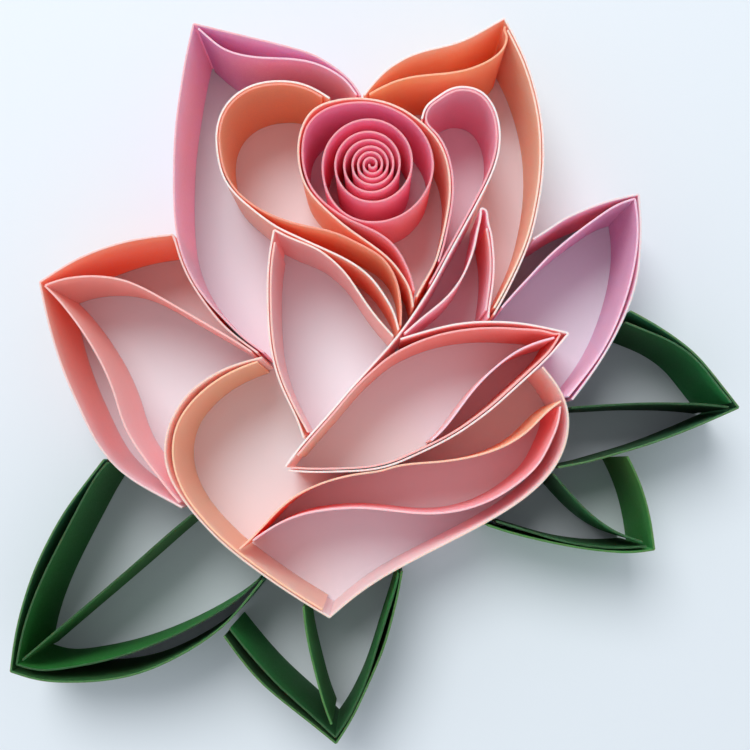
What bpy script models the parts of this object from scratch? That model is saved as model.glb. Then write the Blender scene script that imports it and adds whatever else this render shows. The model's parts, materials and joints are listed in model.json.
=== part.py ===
"""A flat paper flower, made of paper strips that stand on edge.

Every strip is one piece of paper, as wide as the flower is tall. It is bent or
folded along its length, and glued to its neighbours side to side. Seen from
above, a strip is a line in the plan, so each one is given by a few points on
that line. X runs to the flower's right, Y to the top of the bloom, Z up.
"""
import math

import bmesh
import bpy
import numpy as np

# Driving sizes, in metres. The plan is drawn on a grid, one step of which is PLAN_STEP.
PLAN_STEP = 0.001
STRIP_WIDTH = 0.010
PAPER = 0.0002
GLUE_GAP = 0.0001

# The coil, in steps of the plan's grid
COIL_START = 0.22
COIL_SPACING = 0.56
COIL_LOOSENING = 0.33
COIL_SWELL = 0.18

# Turns of the coil: where it starts, swells to one side, loosens and leaves the round
COIL_FIRST_TURN = -0.5
COIL_SWELL_TURN = 2.5
COIL_LOOSE_TURN = 3.5
COIL_LAST_TURN = 5.5
COIL_STEPS_PER_TURN = 20
COIL_CENTRE = (-0.3, 21.65)

# Two strips that lie side to side are one layer apart, middle to middle
LAYER = PAPER + GLUE_GAP

# How finely a strip is worked out, and how closely its faces follow the curve
FINE_STEP = 0.0001
CHORD_ERROR = 0.000016
LONGEST_FACE = 0.004
KNOT_STEP = 0.0015
SMOOTHING_PASSES = 6

# An end that runs at its neighbour more steeply than this is cut short, and so is an end
# that comes closer to its neighbour's middle line than this
BUTT_SLOPE = 0.4
BUTT_GAP = 0.5 * LAYER

# A fold: how far from its tip its two legs are looked at, and the least width it is pressed to
FOLD_REACH = 10
FOLD_FLAT = 0.1 * PAPER
FOLD_SPARE = 1.1

LEFT = 1
RIGHT = -1

COLOURS = {
    "crimson": (0.60, 0.03, 0.08),
    "red_orange": (0.72, 0.10, 0.04),
    "orange": (0.78, 0.22, 0.08),
    "peach": (0.85, 0.40, 0.24),
    "rose": (0.66, 0.08, 0.18),
    "pink": (0.80, 0.24, 0.38),
    "mauve": (0.52, 0.18, 0.36),
    "leaf_green": (0.02, 0.13, 0.04),
}


def spline(knots):
    """A natural cubic spline through the knots, as closely spaced points."""
    knots = np.asarray(knots, dtype=float)
    chords = np.linalg.norm(np.diff(knots, axis=0), axis=1)
    places = np.concatenate([[0.0], np.cumsum(chords)])
    count = len(knots)
    system = np.zeros((count, count))
    wanted = np.zeros((count, 2))
    system[0, 0] = 1.0
    system[-1, -1] = 1.0
    for i in range(1, count - 1):
        system[i, i - 1] = chords[i - 1]
        system[i, i] = 2.0 * (chords[i - 1] + chords[i])
        system[i, i + 1] = chords[i]
        after = (knots[i + 1] - knots[i]) / chords[i]
        before = (knots[i] - knots[i - 1]) / chords[i - 1]
        wanted[i] = 6.0 * (after - before)
    bend = np.linalg.solve(system, wanted)
    along = np.linspace(0.0, places[-1], max(2, int(places[-1] / FINE_STEP)))
    span = np.clip(np.searchsorted(places, along, side="right") - 1, 0, count - 2)
    length = chords[span][:, None]
    done = (along - places[span])[:, None]
    left = length - done
    curve = bend[span] * left ** 3 / (6.0 * length)
    curve += bend[span + 1] * done ** 3 / (6.0 * length)
    curve += (knots[span] / length - bend[span] * length / 6.0) * left
    curve += (knots[span + 1] / length - bend[span + 1] * length / 6.0) * done
    return curve


def directions(path):
    """The unit direction of travel at each point of a path."""
    steps = np.gradient(path, axis=0)
    return steps / np.linalg.norm(steps, axis=1)[:, None]


def run(*pieces):
    """One stretch of a strip between folds, from points on the grid and paths in metres."""
    knots = []
    for piece in pieces:
        if isinstance(piece, np.ndarray):
            knots.extend(piece)
        else:
            knots.append(np.array(piece) * PLAN_STEP)
    return spline(knots)


def beside(path, side, start, end):
    """The line one layer to a side of a path, between the points nearest start and end."""
    marks = [np.array(mark) * PLAN_STEP for mark in (start, end)]
    ends = [int(np.linalg.norm(path - mark, axis=1).argmin()) for mark in marks]
    first, last = sorted(ends)
    ahead = directions(path)
    normals = np.stack([-ahead[:, 1], ahead[:, 0]], axis=1)
    shifted = (path + normals * LAYER * side)[first:last + 1]
    count = max(2, int(len(shifted) * FINE_STEP / KNOT_STEP))
    chosen = shifted[np.linspace(0, len(shifted) - 1, count).astype(int)]
    return chosen if ends[0] <= ends[1] else chosen[::-1]


def coil():
    """The round part of the coil: a spiral whose later turns open faster and swell to the left."""
    turns = np.arange(COIL_FIRST_TURN, COIL_LAST_TURN, 1.0 / COIL_STEPS_PER_TURN)
    wound = turns - COIL_FIRST_TURN
    loose = np.maximum(0.0, turns - COIL_LOOSE_TURN)
    swelling = np.clip((turns - COIL_SWELL_TURN) / (COIL_LAST_TURN - COIL_SWELL_TURN), 0.0, 1.0)
    swell = COIL_SWELL * np.sin(math.pi * swelling) ** 2
    radius = COIL_START + COIL_SPACING * wound + COIL_LOOSENING * loose ** 2 + swell
    angle = 2.0 * math.pi * turns
    round_part = np.stack([np.cos(angle), np.sin(angle)], axis=1) * radius[:, None]
    round_part[:, 0] -= swell
    return (round_part + np.array(COIL_CENTRE)) * PLAN_STEP


def nearest(points, cloud):
    """The nearest point of the cloud to each point, and its distance."""
    found = np.empty_like(points)
    gaps = np.empty(len(points))
    for i, point in enumerate(points):
        squared = ((cloud - point) ** 2).sum(axis=1)
        best = int(squared.argmin())
        found[i] = cloud[best]
        gaps[i] = math.sqrt(squared[best])
    return found, gaps


def cut_end(path, cloud):
    """Cut the path's last points where they run into a neighbour end on."""
    found, gaps = nearest(path, cloud)
    ahead = directions(path)
    steep = (ahead * (found - path)).sum(axis=1) > BUTT_SLOPE * gaps
    last = len(path) - 1
    while last > 1 and gaps[last] < LAYER and (steep[last] or gaps[last] < BUTT_GAP):
        last -= 1
    return path[:last + 1]


def clear_of(path, cloud, fixed_ends):
    """Move the points of a path that lie within one layer of a neighbour out to one layer."""
    found, gaps = nearest(path, cloud)
    close = gaps < LAYER
    if fixed_ends[0]:
        close[0] = False
    if fixed_ends[1]:
        close[-1] = False
    away = (path[close] - found[close]) / gaps[close][:, None]
    path[close] = found[close] + away * LAYER
    return bool(close.any())


def smoothed(path):
    """The path with each inner point drawn towards its two neighbours."""
    path[1:-1] = 0.25 * path[:-2] + 0.5 * path[1:-1] + 0.25 * path[2:]
    return path


def thinned(path):
    """As few points of the path as keep every chord within CHORD_ERROR of the curve."""
    kept = [0]
    while kept[-1] < len(path) - 1:
        start = kept[-1]
        best = start + 1
        for end in range(start + 2, len(path)):
            chord = path[end] - path[start]
            length = np.linalg.norm(chord)
            inner = path[start + 1:end] - path[start]
            off = np.abs(inner[:, 0] * chord[1] - inner[:, 1] * chord[0]) / length
            if off.max() > CHORD_ERROR or length > LONGEST_FACE:
                break
            best = end
        kept.append(best)
    return path[kept]


def folded(runs):
    """Join the runs. Each fold is pressed flat, so it is as blunt as folded paper is."""
    runs = [r.copy() for r in runs]
    for i in range(len(runs) - 1):
        tip = runs[i][-1]
        back = runs[i][-FOLD_REACH] - tip
        onward = runs[i + 1][FOLD_REACH] - tip
        back /= np.linalg.norm(back)
        onward /= np.linalg.norm(onward)
        angle = math.acos(max(-1.0, min(1.0, back @ onward)))
        flat = PAPER * math.tan((math.pi - angle) / 4.0) * FOLD_SPARE + FOLD_FLAT
        cut = flat / (2.0 * math.sin(angle / 2.0))
        steps = max(1, int(round(cut / FINE_STEP)))
        runs[i] = np.vstack([runs[i][:-steps - 1], tip + back * cut])
        runs[i + 1] = np.vstack([tip + onward * cut, runs[i + 1][steps + 1:]])
    return runs


class Flower:
    """The strips laid so far, each against the ones before it."""

    def __init__(self):
        self.paths = {}
        self.collection = bpy.data.collections.new("paper_flower")
        bpy.context.scene.collection.children.link(self.collection)
        self.centre = bpy.data.objects.new("flower_centre", None)
        self.collection.objects.link(self.centre)

    def lay(self, name, colour, *runs):
        """Lay one strip along its runs, clear of every strip before it, and build it."""
        runs = [r.copy() for r in runs]
        if self.paths:
            cloud = np.vstack(list(self.paths.values()))
            runs[-1] = cut_end(runs[-1], cloud)
            runs[0] = cut_end(runs[0][::-1], cloud)[::-1]
            for i, path in enumerate(runs):
                fixed = (i > 0, i < len(runs) - 1)
                for _ in range(SMOOTHING_PASSES):
                    if not clear_of(path, cloud, fixed):
                        break
                    smoothed(path)
                clear_of(path, cloud, fixed)
        runs = folded(runs)
        self.paths[name] = np.vstack(runs)
        self.build(name, colour, np.vstack([thinned(r) for r in runs]))
        return self.paths[name]

    def build(self, name, colour, line):
        """Raise the line into a band of paper and give it the paper's thickness."""
        middle = (line.min(axis=0) + line.max(axis=0)) / 2.0
        mesh = bpy.data.meshes.new(name)
        band = bmesh.new()
        corners = [band.verts.new((x, y, 0.0)) for x, y in line - middle]
        edges = [band.edges.new(pair) for pair in zip(corners, corners[1:])]
        raised = bmesh.ops.extrude_edge_only(band, edges=edges)
        top = [item for item in raised["geom"] if isinstance(item, bmesh.types.BMVert)]
        bmesh.ops.translate(band, verts=top, vec=(0.0, 0.0, STRIP_WIDTH))
        band.to_mesh(mesh)
        band.free()
        mesh.materials.append(paper_material(colour))
        strip = bpy.data.objects.new(name, mesh)
        strip.location = (middle[0], middle[1], 0.0)
        strip.parent = self.centre
        self.collection.objects.link(strip)
        thickness = strip.modifiers.new("paper thickness", "SOLIDIFY")
        thickness.thickness = PAPER
        thickness.offset = 0.0
        thickness.use_even_offset = True

    def centre_on_origin(self):
        """Put the middle of the flower's outline over the origin."""
        bpy.context.view_layer.update()
        view = bpy.context.evaluated_depsgraph_get()
        corners = []
        for strip in self.collection.objects:
            if strip.type == "MESH":
                seen = strip.evaluated_get(view)
                corners.extend([list(seen.matrix_world @ vertex.co) for vertex in seen.data.vertices])
        corners = np.array(corners)
        middle = (corners.min(axis=0) + corners.max(axis=0)) / 2.0
        self.centre.location = (-middle[0], -middle[1], 0.0)


def paper_material(colour):
    """Matt coloured paper."""
    name = "paper_" + colour
    material = bpy.data.materials.get(name)
    if material is None:
        material = bpy.data.materials.new(name)
        material.use_nodes = True
        shader = material.node_tree.nodes["Principled BSDF"]
        shader.inputs["Base Color"].default_value = (*COLOURS[colour], 1.0)
        shader.inputs["Roughness"].default_value = 0.85
        shader.inputs["Metallic"].default_value = 0.0
        material.diffuse_color = (*COLOURS[colour], 1.0)
    return material


def lay_bud(flower):
    """The bud: a teardrop round the coil, and a folded lobe on each side of it."""
    wrap = flower.lay("bud_wrap", "peach", run(
        (3.85, 7.4), (3.55, 9.0), (2.85, 10.4), (1.7, 11.9), (-0.2, 13.5), (-2.4, 15.05),
        (-4.9, 17.15), (-6.8, 19.4), (-7.57, 22.0), (-7.4, 24.8), (-6.1, 27.05), (-3.9, 28.0),
        (-1.2, 28.2), (1.6, 27.65), (4.4, 26.05), (6.4, 23.9), (7.5, 20.5), (7.35, 17.0),
        (6.8, 14.5), (6.05, 11.8), (4.95, 9.8), (4.2, 8.4)))
    flower.lay("coil_strip", "crimson", run(
        coil(), (-5.05, 20.0), (-4.35, 18.2), (-3.1, 16.8), (-1.6, 16.05), (0.1, 15.85),
        (2.9, 16.65), (4.8, 18.4), (5.85, 21.4), (5.4, 23.7), (3.8, 25.9), (1.6, 27.25),
        (-0.6, 27.8), (-2.9, 27.7), (-5.1, 27.0), (-6.6, 25.6), (-7.2, 23.2), (-7.0, 21.0),
        (-6.1, 19.0), (-4.6, 17.45), (-2.9, 16.3), (-1.2, 15.5), (0.6, 14.6), (2.1, 13.3),
        (3.2, 11.4), (3.75, 9.9), (3.95, 9.0)))
    right_outer = flower.lay("right_lobe_outer", "mauve", run(
        (4.75, 26.2), (5.2, 27.4), (6.3, 28.35), (7.6, 29.15), (9.1, 29.37), (10.7, 28.85),
        (11.8, 27.6), (12.45, 25.6), (12.45, 23.2), (11.8, 20.9), (10.6, 18.4), (9.1, 15.6),
        (7.6, 12.9), (6.6, 11.0), (5.45, 9.0), (4.15, 7.0), (2.75, 5.0), (1.95, 4.0),
        (0.1, 1.9), (-1.9, -0.3), (-3.9, -2.6), (-5.9, -4.9), (-7.4, -6.6), (-8.9, -8.6)))
    flower.lay("right_lobe_inner", "rose", run(
        beside(wrap, LEFT, (6.4, 11.9), (5.1, 25.5)), (5.15, 26.2),
        beside(right_outer, RIGHT, (5.6, 27.4), (5.4, 9.7))))
    left_outer = flower.lay("left_lobe_outer", "orange", run(
        (-4.5, 28.25), (-5.8, 29.05), (-7.4, 29.7), (-9.4, 29.95), (-11.6, 29.7),
        (-13.5, 28.85), (-15.0, 27.3), (-15.75, 25.2), (-15.7, 22.7), (-15.0, 20.2),
        (-13.7, 18.45), (-11.9, 16.9), (-9.8, 15.4), (-7.4, 14.25), (-4.9, 13.1),
        (-2.4, 11.85), (-0.4, 10.3), (1.1, 8.3), (1.9, 6.8), (2.4, 5.1)))
    flower.lay("left_lobe_inner", "red_orange", run(
        beside(left_outer, LEFT, (-5.2, 28.5), (-14.4, 19.3)), (-12.2, 17.6), (-10.2, 16.5),
        (-8.2, 15.8), (-5.9, 15.25), (-3.9, 14.75), (-2.2, 14.0), (-0.3, 13.0), (0.8, 12.2),
        (1.6, 11.2), (2.2, 9.9), (2.55, 8.3), (2.65, 7.0), (2.6, 5.5)))
    side = flower.lay("side_bud_outer", "rose", run(
        (3.0, 4.7), (4.9, 6.35), (6.85, 7.95), (8.3, 9.6), (9.2, 11.2), (9.85, 12.95),
        (10.25, 14.6), (10.5, 16.2), (10.75, 17.5)), run(
        (10.75, 17.5), (11.4, 15.8), (11.8, 13.7), (11.93, 11.7), (11.78, 9.3), (11.45, 7.0),
        (11.4, 6.3)))
    flower.lay("side_bud_lining", "pink", run(beside(side, RIGHT, (11.1, 15.2), (11.3, 7.0))))
    return right_outer


def lay_back_petals(flower):
    """The two tall petals behind the bud. Each has a curled lip inside its top edge."""
    flower.lay("back_left_petal_outer", "mauve", run(
        (-1.4, 28.55), (-2.4, 29.95), (-3.9, 31.25), (-6.2, 32.6), (-9.4, 33.55),
        (-12.9, 34.45), (-15.9, 35.15), (-18.1, 35.7)), run(
        (-18.1, 35.7), (-18.75, 32.8), (-19.4, 29.0), (-19.9, 25.0), (-20.07, 21.0),
        (-20.0, 17.0), (-19.55, 13.7), (-18.5, 10.8), (-17.1, 8.5), (-15.2, 6.35),
        (-13.1, 4.3), (-11.1, 2.85)))
    flower.lay("back_left_petal_lip", "pink", run(
        (-1.75, 28.5), (-2.8, 29.9), (-4.4, 31.05), (-6.2, 31.8), (-8.4, 32.17),
        (-11.2, 32.3), (-13.4, 32.6), (-15.2, 33.25), (-16.7, 34.4), (-17.7, 35.3)))
    right = flower.lay("back_right_petal_outer", "orange", run(
        (-1.05, 28.55), (-0.3, 29.5), (1.1, 30.95), (2.9, 32.15), (5.1, 33.0), (7.6, 33.6),
        (9.8, 34.45), (11.6, 35.45), (13.0, 36.25)), run(
        (13.0, 36.25), (14.0, 34.4), (15.2, 31.8), (16.15, 28.8), (16.7, 26.0),
        (16.9, 23.0), (16.75, 20.0), (16.3, 17.2), (15.45, 13.9), (14.2, 10.9),
        (12.9, 8.3), (11.95, 6.6)))
    flower.lay("back_right_petal_lining", "peach", run(
        beside(right, RIGHT, (13.2, 35.0), (12.1, 7.2))))
    flower.lay("back_right_petal_lip", "red_orange", run(
        (-0.5, 28.65), (0.6, 29.25), (2.1, 29.92), (3.9, 30.37), (6.6, 30.67), (9.1, 31.05),
        (10.9, 31.7), (12.2, 32.5), (13.0, 33.4), (13.25, 34.4), (13.05, 35.4)))


def lay_centre_petal(flower):
    """The petal in front of the left lobe, with a lined left wall."""
    outer = flower.lay("centre_petal_outer", "peach", run(
        (-7.1, -5.7), (-7.7, -4.0), (-8.6, -2.1), (-9.5, 0.0), (-10.15, 2.2), (-10.55, 5.0),
        (-10.68, 8.0), (-10.65, 10.8), (-10.4, 13.2), (-10.05, 15.1)), run(
        (-10.05, 15.1), (-8.7, 14.4), (-7.1, 13.75), (-5.6, 13.05), (-4.3, 12.1),
        (-2.9, 10.7), (-1.6, 8.85), (-0.2, 6.85), (1.0, 5.4), (1.85, 4.45)))
    flower.lay("centre_petal_lining", "pink", run(
        (-6.65, -5.15), (-7.3, -3.9), beside(outer, RIGHT, (-8.4, -2.4), (-10.2, 13.9))))


def lay_left_petal(flower):
    """The low petal on the left: a folded wall round two inner sweeps."""
    flower.lay("left_petal_outer", "orange", run(
        (-11.7, 2.8), (-13.4, 4.05), (-15.2, 5.6), (-16.6, 7.25), (-17.8, 9.0),
        (-18.8, 11.0), (-19.55, 12.9), (-20.2, 14.6)), run(
        (-20.2, 14.6), (-21.9, 14.4), (-24.4, 14.0), (-26.9, 13.3), (-29.2, 12.4),
        (-31.4, 11.2), (-33.5, 9.85)), run(
        (-33.5, 9.85), (-32.85, 6.8), (-32.0, 3.6), (-30.8, 0.2), (-29.2, -3.4),
        (-27.5, -6.6), (-25.5, -8.9), (-23.1, -10.6), (-20.9, -11.8), (-19.3, -12.7)))
    flower.lay("left_petal_inner", "pink", run(
        (-12.3, 2.9), (-13.9, 3.9), (-15.9, 5.1), (-18.4, 6.55), (-20.9, 8.0), (-22.9, 9.1),
        (-24.9, 9.95), (-27.4, 10.4), (-30.2, 10.3), (-31.8, 9.95), (-33.0, 9.5)), run(
        (-33.0, 9.5), (-32.0, 8.5), (-30.4, 6.6), (-28.6, 4.0), (-27.0, 1.1), (-25.9, -1.7),
        (-25.1, -4.2), (-23.7, -6.8), (-21.9, -9.2), (-20.3, -11.3), (-19.5, -12.2)))


def lay_right_petal(flower):
    """The low petal on the right: two folded strips, one inside the other."""
    flower.lay("right_petal_outer", "mauve", run(
        (15.9, 14.15), (17.4, 15.1), (19.2, 16.25), (21.0, 17.05), (22.8, 17.75),
        (24.6, 18.25), (26.45, 18.65)), run(
        (26.45, 18.65), (26.63, 16.0), (26.6, 13.5), (26.35, 10.8), (25.8, 8.5),
        (24.8, 6.0), (23.4, 3.3), (21.8, 0.8), (19.8, -1.9)))
    flower.lay("right_petal_inner", "pink", run(
        (12.75, 7.3), (13.6, 8.3), (15.1, 9.9), (16.6, 11.55), (18.6, 13.45), (20.6, 15.05),
        (22.6, 16.5), (24.6, 17.7), (26.05, 18.2)), run(
        (26.05, 18.2), (26.35, 15.5), (26.2, 13.0), (25.75, 10.5), (25.1, 8.2),
        (23.8, 4.9), (22.2, 2.1), (20.6, -0.05), (19.35, -1.6)))


def lay_front_blade(flower, long_line):
    """The slim petal that lies across the front, inside a folded cover."""
    cover = flower.lay("blade_cover", "pink", run(
        (2.6, 4.15), (4.6, 4.75), (6.6, 5.3), (9.1, 5.75), (12.1, 5.87), (15.1, 5.65),
        (17.2, 5.25), (19.45, 4.75)), run(
        (19.45, 4.75), (17.7, 2.7), (15.7, 0.75), (13.7, -1.08), (11.7, -2.85), (9.7, -4.35),
        (7.6, -5.7), (5.6, -6.7), (3.4, -7.75), (1.1, -8.6), (-1.4, -9.0), (-3.9, -9.1),
        (-6.4, -9.13), (-8.6, -9.0)))
    flower.lay("blade_loop", "orange", run(
        beside(long_line, LEFT, (-7.9, -7.3), (-1.3, 0.2)), (0.25, 1.3), (1.3, 2.2),
        (2.85, 3.15), (4.5, 3.9), (6.2, 4.48), (8.6, 5.0), (11.4, 5.25), (14.0, 5.2),
        (16.6, 4.95), (18.6, 4.68)), run(
        (18.6, 4.68), beside(cover, RIGHT, (17.5, 3.0), (-8.4, -8.6))))
    flower.lay("blade_rib", "rose", run(
        (18.0, 4.3), (16.1, 3.75), (14.2, 2.87), (12.6, 1.72), (10.6, -0.15),
        (8.6, -2.65), (6.6, -5.15), (5.7, -6.0)))


def lay_heart_petal(flower):
    """The wide front petal, folded to a point, with a lined wall and two long sweeps."""
    outer = flower.lay("heart_petal_outer", "pink", run(
        (-11.25, 2.3), (-12.6, 1.95), (-14.6, 1.3), (-16.6, 0.25), (-18.4, -1.15),
        (-19.8, -3.0), (-20.7, -5.1), (-20.95, -7.3), (-20.6, -9.2), (-19.4, -11.5),
        (-17.5, -13.9), (-15.2, -16.25), (-12.6, -18.35), (-9.6, -20.5), (-6.9, -22.25),
        (-4.5, -23.7)), run(
        (-4.5, -23.7), (-2.2, -21.75), (0.6, -19.8), (4.1, -17.85), (7.6, -16.05),
        (11.1, -14.2), (14.1, -12.35), (16.6, -10.3), (18.4, -7.95), (19.3, -5.3),
        (19.3, -3.1), (18.6, -1.1), (17.6, 0.4), (16.8, 1.35)))
    flower.lay("heart_petal_lining", "peach", run(
        (-11.7, 1.9), (-13.4, 1.25), (-15.2, 0.35), (-16.9, -0.85), (-18.5, -2.45),
        (-19.65, -4.3), (-20.15, -6.4), (-20.0, -8.7), (-19.15, -11.0),
        beside(outer, LEFT, (-17.3, -13.9), (-5.2, -23.0))))
    flower.lay("heart_petal_orange_sweep", "orange", run(
        (18.75, -2.0), (17.4, -3.0), (15.9, -4.5), (14.0, -6.0), (11.6, -7.1), (8.6, -7.85),
        (5.6, -8.2), (2.6, -8.5), (0.4, -9.0), (-1.6, -9.35), (-3.9, -9.85), (-6.4, -10.75),
        (-8.6, -12.05), (-10.6, -13.95), (-12.4, -15.85), (-13.5, -16.85)))
    flower.lay("heart_petal_pink_sweep", "rose", run(
        (18.6, -2.6), (18.35, -4.2), (17.6, -6.15), (16.4, -8.3), (14.6, -10.05),
        (12.1, -11.7), (9.1, -12.85), (5.6, -13.3), (2.1, -13.05), (-1.4, -12.75),
        (-4.4, -12.9), (-7.4, -13.45), (-9.9, -14.5), (-12.2, -16.0)))


def lay_leaves(flower):
    """Four leaves round the bloom, each a folded wall, an inner wall and a midrib."""
    flower.lay("lower_left_leaf_outer", "leaf_green", run(
        (-27.05, -7.9), (-27.9, -9.0), (-29.4, -10.95), (-31.0, -13.2), (-32.6, -16.0),
        (-34.0, -19.0), (-35.1, -22.2), (-35.9, -25.5), (-36.4, -29.1)), run(
        (-36.4, -29.1), (-33.9, -29.85), (-30.4, -30.15), (-26.9, -29.95), (-23.4, -29.2),
        (-19.9, -27.7), (-16.9, -25.9), (-14.4, -23.8), (-12.6, -21.7), (-11.25, -20.0)))
    flower.lay("lower_left_leaf_inner", "leaf_green", run(
        (-26.7, -8.2), (-27.7, -9.4), (-28.6, -10.9), (-29.6, -12.7), (-30.8, -15.0),
        (-32.1, -17.5), (-33.3, -20.0), (-34.4, -22.7), (-35.2, -25.3), (-35.8, -28.4)), run(
        (-35.8, -28.4), (-33.9, -28.9), (-30.9, -28.75), (-27.9, -28.2), (-24.9, -27.4),
        (-21.9, -26.3), (-18.9, -24.95), (-15.9, -23.3), (-13.4, -21.6), (-11.7, -20.0)))
    flower.lay("lower_left_leaf_midrib", "leaf_green", run(
        (-35.2, -27.95), (-31.4, -24.7), (-27.4, -21.3), (-22.9, -17.4), (-20.4, -15.2),
        (-18.35, -13.5)))
    flower.lay("bottom_leaf_outer", "leaf_green", run(
        (-15.05, -25.55), (-13.4, -27.8), (-11.2, -30.3), (-8.6, -32.5), (-6.2, -34.4),
        (-3.85, -36.3)), run(
        (-3.85, -36.3), (-2.4, -34.0), (-0.7, -30.5), (0.7, -27.25), (1.7, -24.0),
        (2.4, -21.0), (2.75, -19.1)))
    flower.lay("bottom_leaf_inner", "leaf_green", run(
        (-14.5, -24.8), (-12.9, -26.8), (-11.0, -29.0), (-8.6, -31.4), (-6.2, -33.55),
        (-3.9, -35.7)), run(
        (-3.9, -35.7), (-2.4, -33.4), (-1.0, -30.4), (0.2, -26.9), (1.3, -23.3),
        (2.1, -20.7), (2.45, -19.3)))
    flower.lay("bottom_leaf_midrib", "leaf_green", run(
        (-7.1, -22.65), (-6.75, -25.5), (-6.0, -28.8), (-5.1, -32.2), (-4.3, -34.4)))
    flower.lay("lower_right_leaf_outer", "leaf_green", run(
        (25.3, -7.6), (26.3, -9.7), (27.1, -12.0), (27.65, -14.4), (28.0, -16.9)), run(
        (28.0, -16.9), (26.1, -17.15), (23.1, -17.05), (20.1, -16.65), (16.6, -15.95),
        (13.6, -15.2), (11.4, -14.5)))
    flower.lay("lower_right_leaf_inner", "leaf_green", run(
        (12.2, -14.1), (14.1, -14.7), (16.1, -15.3), (18.6, -16.0), (21.6, -16.55),
        (24.6, -16.75), (27.2, -16.6)))
    flower.lay("lower_right_leaf_midrib", "leaf_green", run(
        (17.85, -9.3), (19.1, -10.7), (20.6, -12.4), (22.4, -14.0), (24.4, -15.25),
        (26.8, -16.15)))
    flower.lay("right_leaf_outer", "leaf_green", run(
        (25.6, 6.95), (27.6, 5.85), (29.8, 4.45), (32.1, 2.6), (34.1, 0.3),
        (36.45, -2.7)), run(
        (36.45, -2.7), (34.1, -3.75), (31.1, -5.0), (27.6, -6.3), (24.6, -7.2),
        (21.6, -8.05), (18.3, -8.7)))
    flower.lay("right_leaf_inner", "leaf_green", run(
        (25.05, 5.85), (26.6, 5.2), (28.6, 4.4), (30.8, 3.2), (32.6, 1.65), (34.3, -0.5),
        (35.7, -2.15)))
    flower.lay("right_leaf_midrib", "leaf_green", run(
        (19.7, -2.7), (22.6, -2.5), (26.6, -2.3), (30.6, -2.3), (33.6, -2.45),
        (35.4, -2.65)))


def main():
    for old in list(bpy.data.objects):
        bpy.data.objects.remove(old, do_unlink=True)
    flower = Flower()
    long_line = lay_bud(flower)
    lay_back_petals(flower)
    lay_centre_petal(flower)
    lay_left_petal(flower)
    lay_front_blade(flower, long_line)
    lay_heart_petal(flower)
    lay_right_petal(flower)
    lay_leaves(flower)
    flower.centre_on_origin()


main()
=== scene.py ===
# %% [markdown]
# # A quilled paper rose
#
# Quilling makes pictures from strips of coloured paper that stand on edge. Each strip is
# bent with the fingers, folded where a petal has its tip, and glued to its neighbour side
# to side. The solids give the place of every strip. This lesson turns each of them into
# paper: a thin band with soft cut edges, fibres in its surface and a pale core. Lengths
# are in metres.

# %% Load the solids
import json
import math

import bpy
import numpy as np
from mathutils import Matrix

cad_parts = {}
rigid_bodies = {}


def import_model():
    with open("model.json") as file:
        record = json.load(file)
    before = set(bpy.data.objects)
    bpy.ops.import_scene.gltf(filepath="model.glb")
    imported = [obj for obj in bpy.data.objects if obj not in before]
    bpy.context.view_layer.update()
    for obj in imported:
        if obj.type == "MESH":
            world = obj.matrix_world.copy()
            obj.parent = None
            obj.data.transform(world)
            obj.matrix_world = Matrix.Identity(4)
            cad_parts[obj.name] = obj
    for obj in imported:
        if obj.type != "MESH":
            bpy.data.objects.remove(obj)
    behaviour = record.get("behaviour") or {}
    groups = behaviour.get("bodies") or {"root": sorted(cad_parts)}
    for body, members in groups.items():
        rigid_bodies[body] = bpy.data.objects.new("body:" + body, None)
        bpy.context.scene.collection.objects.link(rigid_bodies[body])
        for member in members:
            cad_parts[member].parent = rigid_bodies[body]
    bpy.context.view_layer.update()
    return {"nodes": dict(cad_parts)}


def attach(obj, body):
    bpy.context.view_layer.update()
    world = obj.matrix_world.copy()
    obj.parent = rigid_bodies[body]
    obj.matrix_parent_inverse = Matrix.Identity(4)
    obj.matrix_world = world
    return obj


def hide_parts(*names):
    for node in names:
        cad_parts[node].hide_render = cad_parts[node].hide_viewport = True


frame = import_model()
print("strips:", len(frame["nodes"]))

# %% [markdown]
# ## Where a strip runs
#
# Seen from above, a strip is a line in the plan. The line could be drawn again with a
# curve object, but the solid already holds it: its upper face is a narrow ribbon, and the
# middle of that ribbon is the line. So the ribbon's outline is read, its two long sides
# are paired, and the points halfway between them are the line.

# %% Read a solid's upper outline
STRIP_TOP = 0.010
TOUCHING = 1e-6


def welded_triangles(mesh):
    """Corners and triangles of a loose mesh, with corners at one place made one corner."""
    corners = np.empty(len(mesh.vertices) * 3, np.float32)
    mesh.vertices.foreach_get("co", corners)
    corners = corners.reshape(-1, 3).astype(float)
    mesh.calc_loop_triangles()
    triangles = np.empty(len(mesh.loop_triangles) * 3, np.int32)
    mesh.loop_triangles.foreach_get("vertices", triangles)
    grid = np.round(corners / TOUCHING).astype(np.int64)
    _, first, place = np.unique(grid, axis=0, return_index=True, return_inverse=True)
    return corners[first], place.reshape(-1)[triangles].reshape(-1, 3)


def upper_outline(mesh):
    """The corners round the upper face, in order.

    An edge on the outline belongs to one triangle only, so its opposite isn't in the list.
    Each corner then has one next corner. The order is found by doubling: the corners two
    steps on, four steps on, and so forth, until all of them are in the row.
    """
    corners, triangles = welded_triangles(mesh)
    upper = triangles[(corners[triangles][:, :, 2] > STRIP_TOP - 10 * TOUCHING).all(axis=1)]
    edges = np.vstack([upper[:, [0, 1]], upper[:, [1, 2]], upper[:, [2, 0]]])
    count = len(corners)
    forward = edges[:, 0].astype(np.int64) * count + edges[:, 1]
    backward = edges[:, 1].astype(np.int64) * count + edges[:, 0]
    outline = edges[~np.isin(forward, backward)]
    onward = np.zeros(count, np.int64)
    onward[outline[:, 0]] = outline[:, 1]
    row = outline[:1, 0].astype(np.int64)
    while len(row) < len(outline):
        row = np.concatenate([row, onward[row]])
        onward = onward[onward]
    return corners[row[:len(outline)], :2]


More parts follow.
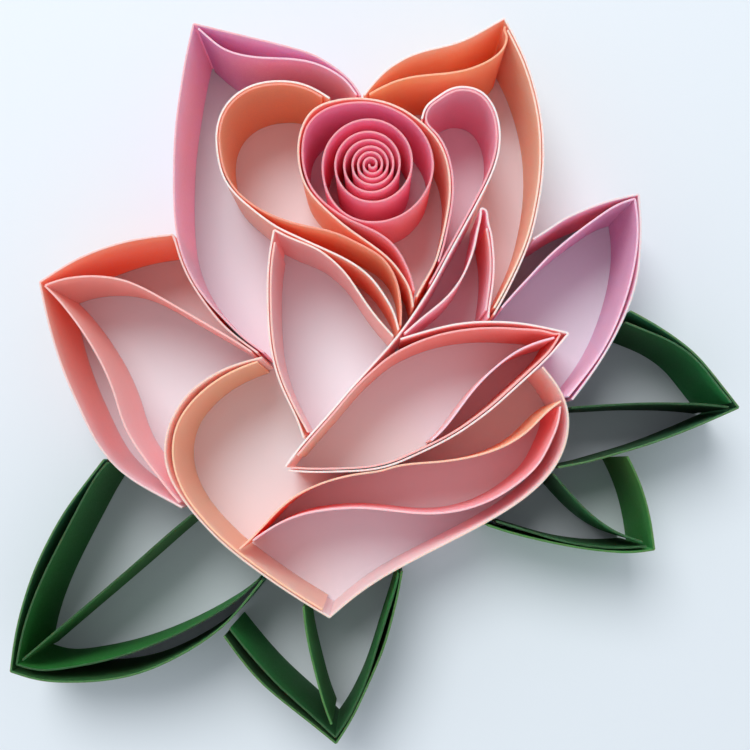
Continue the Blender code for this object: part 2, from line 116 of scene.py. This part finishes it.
def middle_line(mesh):
    """Points halfway between the two long sides of the upper face.

    The outline is cut at each corner in turn and its two halves are laid side by side. The
    cut that leaves the halves closest together is the one at the strip's end.
    """
    outline = upper_outline(mesh)
    count = len(outline)
    starts = np.arange(count)[:, None]
    steps = np.arange(count // 2)[None, :]
    one = outline[(starts + steps) % count]
    other = outline[(starts - 1 - steps) % count]
    spread = np.linalg.norm(one - other, axis=2).sum(axis=1)
    best = int(spread.argmin())
    return (one[best] + other[best]) / 2.0


lines = {name: middle_line(node.data) for name, node in frame["nodes"].items()}
lengths = {name: np.linalg.norm(np.diff(p, axis=0), axis=1).sum() for name, p in lines.items()}
print("paper in the flower: %.2f m" % sum(lengths.values()))

# %% [markdown]
# ## From short chords to a smooth bend
#
# The solid follows the bend in short flat faces. Paper bends smoothly, so a cubic curve is
# laid through the points again, and read off about every 0.16 mm. A fold is the exception:
# there the line turns sharply twice within a paper's thickness, and the curve has to stop
# on one side of the fold and start anew on the other.

# %% Bend the lines smoothly between their folds
PAPER = 0.0002
FOLD_TURN = math.radians(26.0)
FOLD_LENGTH = 0.9 * PAPER
STEP = 0.00016
FEWEST_POINTS = 8


def cubic_through(points, spacing):
    """Points along a natural cubic curve through the given ones.

    Each stretch is a cubic in the distance along the chords. The bends at the joints solve
    one linear system, so that slope and bend run on from each stretch to the next.
    """
    if len(points) < 3:
        share = np.linspace(0.0, 1.0, FEWEST_POINTS)[:, None]
        return points[0] * (1.0 - share) + points[-1] * share
    chords = np.linalg.norm(np.diff(points, axis=0), axis=1)
    places = np.concatenate([[0.0], np.cumsum(chords)])
    count = len(points)
    system = np.eye(count)
    inner = np.arange(1, count - 1)
    system[inner, inner - 1] = chords[:-1]
    system[inner, inner] = 2.0 * (chords[:-1] + chords[1:])
    system[inner, inner + 1] = chords[1:]
    slopes = np.diff(points, axis=0) / chords[:, None]
    wanted = np.zeros((count, 2))
    wanted[1:-1] = 6.0 * np.diff(slopes, axis=0)
    bends = np.linalg.solve(system, wanted)
    along = np.linspace(0.0, places[-1], max(FEWEST_POINTS, int(places[-1] / spacing)))
    span = np.clip(np.searchsorted(places, along, side="right") - 1, 0, count - 2)
    size = chords[span][:, None]
    done = (along - places[span])[:, None]
    left = size - done
    curve = (bends[span] * left ** 3 + bends[span + 1] * done ** 3) / (6.0 * size)
    curve += (points[span] / size - bends[span] * size / 6.0) * left
    curve += (points[span + 1] / size - bends[span + 1] * size / 6.0) * done
    return curve


def smooth_line(points):
    """The line again in fine steps, smooth between its folds and sharp at them."""
    steps = np.diff(points, axis=0)
    size = np.linalg.norm(steps, axis=1)
    heading = np.arctan2(steps[:, 1], steps[:, 0])
    turn = np.abs((np.diff(heading) + math.pi) % (2.0 * math.pi) - math.pi)
    folds = [i for i in range(1, len(size) - 1)
             if size[i] < FOLD_LENGTH and turn[i - 1] > FOLD_TURN and turn[i] > FOLD_TURN]
    cuts = [0] + [i + 1 for i in folds] + [len(points)]
    return [cubic_through(points[a:b], STEP) for a, b in zip(cuts, cuts[1:])]


COILED = "coil_strip"
runs = {name: [cubic_through(p, STEP)] if name == COILED else smooth_line(p)
        for name, p in lines.items()}
print("folds:", {name: len(r) - 1 for name, r in runs.items() if len(r) > 1})

# %% [markdown]
# ## The band of paper
#
# A strip of paper could be an extruded curve with a Solidify modifier. Here its outline in
# cross-section is carried along the line instead, because then the cut edges can be soft
# and a little uneven, as a cutter leaves them, while the two faces stay flat.

# %% Carry the cross-section along a line
HALF = PAPER / 2.0
SHOULDER = 0.000035
FACE_ROWS = 5
CORNER_ROWS = 3
FRAY = 0.00003
FRAY_POWER = 4
SHARP_ANGLE = math.radians(35.0)


def cross_section():
    """The outline of the paper's section: how far across from its middle, and how high.

    It runs up the left face, round the upper edge, down the right face and round the lower
    edge. Each corner is a quarter circle with the shoulder's radius.
    """
    turn = np.linspace(0.0, math.pi / 2.0, CORNER_ROWS + 1)
    rise = np.linspace(SHOULDER, STRIP_TOP - SHOULDER, FACE_ROWS + 1)[1:-1]
    inset = HALF - SHOULDER
    up_x = np.full(len(rise), -HALF)
    top_left = -inset - SHOULDER * np.cos(turn), STRIP_TOP - SHOULDER + SHOULDER * np.sin(turn)
    top_right = inset + SHOULDER * np.sin(turn), STRIP_TOP - SHOULDER + SHOULDER * np.cos(turn)
    low_right = inset + SHOULDER * np.cos(turn), SHOULDER - SHOULDER * np.sin(turn)
    low_left = -inset - SHOULDER * np.sin(turn), SHOULDER - SHOULDER * np.cos(turn)
    across = np.concatenate([up_x, top_left[0], top_right[0], -up_x, low_right[0], low_left[0]])
    height = np.concatenate([rise, top_left[1], top_right[1],
                             rise[::-1], low_right[1], low_left[1]])
    return across, height


def sideways(line):
    """At each point, the direction to the left of the line, stretched where the line turns.

    It points along the mean of the normals of the two chords that meet there. Its length is
    one over the cosine of half the turn between them, so that both faces stay one half
    thickness from the line.
    """
    chords = np.diff(line, axis=0)
    chords /= np.linalg.norm(chords, axis=1)[:, None]
    normals = np.stack([-chords[:, 1], chords[:, 0]], axis=1)
    before = np.vstack([normals[:1], normals])
    after = np.vstack([normals, normals[-1:]])
    mean = before + after
    return 2.0 * mean / (mean ** 2).sum(axis=1)[:, None]


def ripple(along, phase):
    """Small ups and downs of a cut edge: a sum of four sine waves of unlike length."""
    waves = np.array([0.0021, 0.0009, 0.00047, 0.00029])
    heights = np.array([0.4, 0.3, 0.2, 0.1])
    shifts = phase * np.array([1.0, 2.3, 3.7, 5.1])
    return (np.sin(2.0 * math.pi * along[:, None] / waves + shifts) * heights).sum(axis=1)


def paper_band(name, pieces, phase):
    """Carry the cross-section along a line, and close it at both ends.

    A point of the band is the line's point, plus the sideways direction times the section's
    across, with the section's height above the ground. The upper edge dips by the ripple, and
    the dip fades out towards half height. The UV map holds two shares: how far the point is
    down the picture, from the strip's highest place there to its lowest, and how high it is
    above the ground.
    """
    line = np.vstack(pieces)
    across, height = cross_section()
    count, ring = len(line), len(across)
    along = np.concatenate([[0.0], np.cumsum(np.linalg.norm(np.diff(line, axis=0), axis=1))])
    dip = FRAY * 0.5 * (1.0 + ripple(along, phase))
    grid = np.empty((count, ring, 3))
    grid[:, :, :2] = line[:, None, :] + sideways(line)[:, None, :] * across[None, :, None]
    share = np.clip((height - 0.5 * STRIP_TOP) / (0.5 * STRIP_TOP), 0.0, 1.0) ** FRAY_POWER
    grid[:, :, 2] = height[None, :] - dip[:, None] * share[None, :]
    i, j = np.meshgrid(np.arange(count - 1), np.arange(ring), indexing="ij")
    k = (j + 1) % ring
    quads = np.stack([i * ring + j, (i + 1) * ring + j, (i + 1) * ring + k, i * ring + k], axis=2)
    first = np.arange(ring)[::-1]
    last = (count - 1) * ring + np.arange(ring)
    around = quads.reshape(-1, 4).tolist() + [first.tolist(), last.tolist()]
    mesh = bpy.data.meshes.new(name + "_paper")
    mesh.from_pydata(grid.reshape(-1, 3), [], around)
    down = (line[:, 1].max() - line[:, 1]) / np.ptp(line[:, 1])
    uv = np.stack([np.repeat(down, ring), grid[:, :, 2].reshape(-1) / STRIP_TOP], axis=1)
    corner = np.empty(len(mesh.loops), np.int32)
    mesh.loops.foreach_get("vertex_index", corner)
    mesh.uv_layers.new(name="strip").data.foreach_set("uv", uv[corner].astype(np.float32).ravel())
    mesh.shade_smooth()
    mesh.set_sharp_from_angle(angle=SHARP_ANGLE)
    piece = bpy.data.objects.new(name + "_paper", mesh)
    bpy.context.scene.collection.objects.link(piece)
    return piece


# %% [markdown]
# ## Dyed paper with a pale core and painted shade
#
# The strips are cut from paper that is dyed on its faces. The cut edge shows the paler
# core, which draws the bright lines of the flower. Up close the face is a felt of fibres:
# a fine noise moves its colour a little and gives it a soft bump. Some strips are dyed in
# two shades that run into each other, so a material takes two colours: the colour at the
# strip's upper end in the picture, and the colour at its lower end. These two colours also
# hold painted shade and painted light: an end that lies in shade is painted darker, an end
# in the light paler. Light also enters the paper and leaves it again close by, the red part
# farthest: that is the glow.

# %% Mix a dyed paper
EDGE_BLEND = 0.00004
FIBRE_SIZE, FIBRE_DETAIL = 0.00022, 3.0
CLOUD_SIZE, CLOUD_DETAIL = 0.004, 2.0
NOISE_LOW, NOISE_HIGH = 0.3, 0.7
SHADES_START, SHADES_END = 0.08, 0.92
CORE_IN_CLOUDS = 0.14
CORE_IN_FIBRES = 0.26
STAIN_LOW, STAIN_HIGH, STAIN_ON_EDGE = 0.42, 0.75, 0.45
BUMP_STRENGTH, BUMP_DEPTH = 0.5, 0.00003
ROUGH_LOW, ROUGH_HIGH = 0.72, 0.92
SHEEN_OF_FACE = 0.25
GLOW_COLOURS = (1.0, 0.5, 0.45)
GLOW_REACH = 0.0006


def link(tree, *pairs):
    """Join the sockets of each pair."""
    for source, target in pairs:
        tree.links.new(source, target)


def noise(tree, place, size, detail):
    """A noise texture whose features are about the given size in metres."""
    node = tree.nodes.new("ShaderNodeTexNoise")
    node.inputs["Scale"].default_value = 1.0 / size
    node.inputs["Detail"].default_value = detail
    link(tree, (place, node.inputs["Vector"]))
    return node.outputs["Fac"]


def mapped(tree, value, low, high, to_low, to_high):
    """The value moved from one range to another, and held there."""
    node = tree.nodes.new("ShaderNodeMapRange")
    ends = {"From Min": low, "From Max": high, "To Min": to_low, "To Max": to_high}
    for socket, number in ends.items():
        node.inputs[socket].default_value = number
    link(tree, (value, node.inputs["Value"]))
    return node.outputs["Result"]


def blended(tree, factor, first, second):
    """Two colours mixed by a factor's socket. Each colour is a socket or three numbers."""
    node = tree.nodes.new("ShaderNodeMix")
    node.data_type = "RGBA"
    for name, colour in (("A", first), ("B", second)):
        socket = [s for s in node.inputs if s.name == name and s.type == "RGBA"][0]
        if isinstance(colour, tuple):
            socket.default_value = (*colour, 1.0)
        else:
            link(tree, (colour, socket))
    link(tree, (factor, node.inputs["Factor"]))
    return [s for s in node.outputs if s.type == "RGBA"][0]


def dyed_paper_with_painted_shade(name, upper_dye_and_painted_shade, lower_dye_and_painted_shade, core):
    """Paper whose face colour runs from one colour to another down the picture, with its core on
    its cut edges. The two colours are the dyed colour with painted shade and painted light in it.

    Clouds and fibres of the core show through the face colour, and a little of the face
    colour stains the edges.
    """
    material = bpy.data.materials.new(name)
    material.use_nodes = True
    tree = material.node_tree
    shader = tree.nodes["Principled BSDF"]
    where = tree.nodes.new("ShaderNodeTexCoord")
    place = where.outputs["Object"]
    in_strip = tree.nodes.new("ShaderNodeSeparateXYZ")
    in_space = tree.nodes.new("ShaderNodeSeparateXYZ")
    link(tree, (where.outputs["UV"], in_strip.inputs["Vector"]),
         (place, in_space.inputs["Vector"]))
    fibres = noise(tree, place, FIBRE_SIZE, FIBRE_DETAIL)
    clouds = noise(tree, place, CLOUD_SIZE, CLOUD_DETAIL)
    # The face colour runs from the upper to the lower colour down the picture: the dyed colour
    # with painted shade and painted light in it.
    down = mapped(tree, in_strip.outputs["X"], SHADES_START, SHADES_END, 0.0, 1.0)
    painted_shade_and_dye = blended(tree, down, upper_dye_and_painted_shade, lower_dye_and_painted_shade)
    cloudy = mapped(tree, clouds, NOISE_LOW, NOISE_HIGH, 0.0, CORE_IN_CLOUDS)
    face = blended(tree, cloudy, painted_shade_and_dye, core)
    felted = mapped(tree, fibres, NOISE_LOW, NOISE_HIGH, 0.0, CORE_IN_FIBRES)
    speckled = blended(tree, felted, face, core)
    stained = mapped(tree, fibres, STAIN_LOW, STAIN_HIGH, 0.0, STAIN_ON_EDGE)
    edge = blended(tree, stained, core, face)
    height = in_space.outputs["Z"]
    at_top = mapped(tree, height, STRIP_TOP - 2.0 * EDGE_BLEND, STRIP_TOP - EDGE_BLEND, 0.0, 1.0)
    at_foot = mapped(tree, height, 0.3 * EDGE_BLEND, EDGE_BLEND, 1.0, 0.0)
    colour = blended(tree, at_foot, blended(tree, at_top, speckled, edge), edge)
    roughness = mapped(tree, fibres, NOISE_LOW, NOISE_HIGH, ROUGH_LOW, ROUGH_HIGH)
    bump = tree.nodes.new("ShaderNodeBump")
    bump.inputs["Strength"].default_value = BUMP_STRENGTH
    bump.inputs["Distance"].default_value = BUMP_DEPTH
    link(tree, (fibres, bump.inputs["Height"]), (bump.outputs["Normal"], shader.inputs["Normal"]),
         (colour, shader.inputs["Base Color"]), (roughness, shader.inputs["Roughness"]))
    shader.inputs["Specular IOR Level"].default_value = SHEEN_OF_FACE
    shader.inputs["Subsurface Weight"].default_value = 1.0
    shader.inputs["Subsurface Radius"].default_value = GLOW_COLOURS
    shader.inputs["Subsurface Scale"].default_value = GLOW_REACH
    return material


# %% [markdown]
# ## Which paper each strip is cut from
#
# A palette is easiest to judge in one place, so each strip has one row here: the colour at
# its upper end, the colour at its lower end, and its core. The two end colours are the
# dyed colours with painted shade and painted light in them: an end that lies in shade is
# painted darker, an end in the light paler.

# %% Choose the papers
# Each row: upper colour and lower colour, both with painted shade and painted light in them, then
# the core.
PAPERS = {
    # The bud, with the spiral inside it
    "coil_strip": ((0.95, 0.28, 0.48), (0.96, 0.37, 0.42), (0.74, 0.33, 0.36)),
    "bud_wrap": ((0.96, 0.36, 0.24), (0.96, 0.46, 0.32), (0.90, 0.61, 0.53)),
    "side_bud_outer": ((0.94, 0.44, 0.55), (0.96, 0.44, 0.56), (0.90, 0.68, 0.68)),
    "side_bud_lining": ((0.96, 0.21, 0.17), (0.96, 0.44, 0.56), (0.74, 0.51, 0.52)),
    # The two lobes beside the bud
    "left_lobe_outer": ((0.96, 0.48, 0.30), (0.96, 0.48, 0.30), (0.90, 0.80, 0.76)),
    "left_lobe_inner": ((0.96, 0.33, 0.17), (0.96, 0.48, 0.30), (0.74, 0.33, 0.26)),
    "right_lobe_outer": ((0.96, 0.67, 0.76), (0.96, 0.74, 0.76), (0.90, 0.80, 0.76)),
    "right_lobe_inner": ((0.96, 0.35, 0.48), (0.96, 0.19, 0.33), (0.74, 0.42, 0.45)),
    # The petals behind them
    "back_left_petal_outer": ((0.85, 0.54, 0.74), (0.92, 0.54, 0.74), (0.74, 0.44, 0.47)),
    "back_left_petal_lip": ((0.60, 0.17, 0.48), (0.96, 0.44, 0.56), (0.86, 0.55, 0.62)),
    "back_right_petal_outer": ((0.92, 0.48, 0.30), (0.86, 0.48, 0.30), (0.90, 0.72, 0.70)),
    "back_right_petal_lining": ((0.96, 0.42, 0.25), (0.96, 0.48, 0.30), (0.90, 0.67, 0.57)),
    "back_right_petal_lip": ((0.88, 0.24, 0.14), (0.96, 0.43, 0.17), (0.90, 0.44, 0.30)),
    # The petals in the middle and at the sides
    "centre_petal_outer": ((0.96, 0.34, 0.33), (0.96, 0.66, 0.52), (0.90, 0.73, 0.67)),
    "centre_petal_lining": ((0.88, 0.38, 0.40), (0.96, 0.62, 0.66), (0.90, 0.55, 0.49)),
    "left_petal_outer": ((0.96, 0.36, 0.20), (0.93, 0.66, 0.72), (0.78, 0.56, 0.54)),
    "left_petal_inner": ((0.92, 0.40, 0.33), (0.96, 0.62, 0.68), (0.90, 0.50, 0.48)),
    "right_petal_outer": ((0.92, 0.51, 0.62), (0.92, 0.54, 0.74), (0.74, 0.66, 0.66)),
    "right_petal_inner": ((0.67, 0.28, 0.49), (0.92, 0.54, 0.74), (0.90, 0.57, 0.68)),
    # The blade across the front
    "blade_cover": ((0.96, 0.62, 0.64), (0.90, 0.22, 0.24), (0.90, 0.80, 0.76)),
    "blade_loop": ((0.96, 0.21, 0.17), (0.96, 0.66, 0.52), (0.88, 0.45, 0.45)),
    "blade_rib": ((0.96, 0.62, 0.66), (0.96, 0.62, 0.66), (0.90, 0.59, 0.68)),
    # The heart petal
    "heart_petal_outer": ((0.96, 0.74, 0.76), (0.94, 0.74, 0.76), (0.79, 0.59, 0.50)),
    "heart_petal_lining": ((0.96, 0.50, 0.31), (0.96, 0.58, 0.46), (0.90, 0.53, 0.37)),
    "heart_petal_orange_sweep": ((0.96, 0.46, 0.24), (0.96, 0.24, 0.12), (0.90, 0.56, 0.44)),
    "heart_petal_pink_sweep": ((0.96, 0.27, 0.30), (0.96, 0.44, 0.56), (0.90, 0.55, 0.57)),
    # The leaves
    "bottom_leaf_inner": ((0.008, 0.19, 0.026), (0.008, 0.07, 0.016), (0.03, 0.10, 0.04)),
    "bottom_leaf_midrib": ((0.034, 0.18, 0.045), (0.012, 0.10, 0.022), (0.08, 0.23, 0.07)),
    "bottom_leaf_outer": ((0.008, 0.04, 0.014), (0.008, 0.04, 0.014), (0.07, 0.20, 0.06)),
    "lower_left_leaf_inner": ((0.023, 0.13, 0.035), (0.008, 0.14, 0.014), (0.03, 0.10, 0.04)),
    "lower_left_leaf_midrib": ((0.034, 0.11, 0.026), (0.030, 0.17, 0.030), (0.03, 0.10, 0.04)),
    "lower_left_leaf_outer": ((0.008, 0.10, 0.065), (0.008, 0.07, 0.014), (0.07, 0.20, 0.07)),
    "lower_right_leaf_inner": ((0.008, 0.04, 0.014), (0.008, 0.06, 0.014), (0.03, 0.10, 0.04)),
    "lower_right_leaf_midrib": ((0.008, 0.04, 0.014), (0.050, 0.30, 0.100), (0.03, 0.10, 0.04)),
    "lower_right_leaf_outer": ((0.043, 0.14, 0.023), (0.038, 0.27, 0.062), (0.07, 0.20, 0.06)),
    "right_leaf_inner": ((0.010, 0.07, 0.014), (0.021, 0.30, 0.072), (0.04, 0.13, 0.06)),
    "right_leaf_midrib": ((0.008, 0.04, 0.014), (0.008, 0.04, 0.014), (0.03, 0.10, 0.04)),
    "right_leaf_outer": ((0.016, 0.19, 0.093), (0.008, 0.04, 0.014), (0.08, 0.20, 0.08)),
}
print("papers chosen:", len(PAPERS), "all strips:", set(PAPERS) == set(lines))

# %% Make every strip
for number, name in enumerate(sorted(PAPERS)):
    strip = paper_band(name, runs[name], float(number))
    # Each material paints shade and light into the strip's colour from its upper to its lower
    # end.
    strip.data.materials.append(dyed_paper_with_painted_shade(name + "_dye", *PAPERS[name]))
    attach(strip, "root")
    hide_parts(name)
faces = sum(len(o.data.polygons) for o in bpy.data.objects if o.name.endswith("_paper"))
print("strips made:", len(PAPERS), "with", faces, "faces")

# %% [markdown]
# ## The table, the light and the camera
#
# The flower lies on a pale sheet. A large soft lamp stands beyond its top left, as a window
# would, and a pale sky fills the shadows. Whoever takes such a picture leans over it, so the
# sky dims with height and is dimmest straight overhead: the cells get their light through
# and off the paper, and glow in its colour. Light bounces many times in a deep bright cell,
# more often than Blender follows it by default. The camera hangs straight above the lower
# part of the flower, and its lens is shifted, so that the picture is centred without
# tilting it.

# %% Lay the ground
SHEET_REACH = 1.5
sheet_corners = [(x * SHEET_REACH, y * SHEET_REACH, 0.0)
                 for x, y in ((-1.0, -1.0), (1.0, -1.0), (1.0, 1.0), (-1.0, 1.0))]
ground_mesh = bpy.data.meshes.new("ground")
ground_mesh.from_pydata(sheet_corners, [], [(0, 1, 2, 3)])
ground = bpy.data.objects.new("ground", ground_mesh)
bpy.context.scene.collection.objects.link(ground)
sheet = bpy.data.materials.new("pale_sheet")
sheet.use_nodes = True
surface = sheet.node_tree.nodes["Principled BSDF"]
surface.inputs["Base Color"].default_value = (0.72, 0.79, 0.84, 1.0)
surface.inputs["Roughness"].default_value = 0.9
ground_mesh.materials.append(sheet)

# %% Hang the lamps
SKY_AROUND = 0.72
SKY_OVERHEAD = 0.55
DIM_FROM, DIM_TO = 0.55, 0.90
lamp = bpy.data.lights.new("window", "AREA")
lamp.shape = "DISK"
lamp.size = 0.36
lamp.energy = 2.3
lamp.color = (1.0, 0.98, 0.97)
window = bpy.data.objects.new("window", lamp)
window.location = (-0.14, 0.30, 0.47)
aim = -np.array(window.location)
tilt = math.acos(-aim[2] / np.linalg.norm(aim))
window.rotation_euler = (tilt, 0.0, math.atan2(-aim[0], aim[1]))
bpy.context.scene.collection.objects.link(window)
sky = bpy.data.worlds.new("sky")
bpy.context.scene.world = sky
sky.use_nodes = True
sky.node_tree.nodes["Background"].inputs["Color"].default_value = (0.93, 0.95, 1.0, 1.0)
towards = sky.node_tree.nodes.new("ShaderNodeTexCoord")
rise = sky.node_tree.nodes.new("ShaderNodeSeparateXYZ")
link(sky.node_tree, (towards.outputs["Generated"], rise.inputs["Vector"]))
strength = mapped(sky.node_tree, rise.outputs["Z"], DIM_FROM, DIM_TO, SKY_AROUND, SKY_OVERHEAD)
link(sky.node_tree, (strength, sky.node_tree.nodes["Background"].inputs["Strength"]))

# %% Place the camera
LIGHT_BOUNCES = 48
lens = bpy.data.cameras.new("camera")
lens.sensor_width = 36.0
lens.lens = 43.2
lens.shift_x = -0.0013
lens.shift_y = 0.12
lens.clip_start = 0.005
camera = bpy.data.objects.new("camera", lens)
camera.location = (0.00015, -0.00843, 0.100)
bpy.context.scene.collection.objects.link(camera)
bpy.context.scene.camera = camera
bpy.context.scene.view_settings.view_transform = "Standard"
bpy.context.scene.cycles.diffuse_bounces = LIGHT_BOUNCES
bpy.context.scene.cycles.max_bounces = LIGHT_BOUNCES

# %% Finish
bpy.context.view_layer.update()
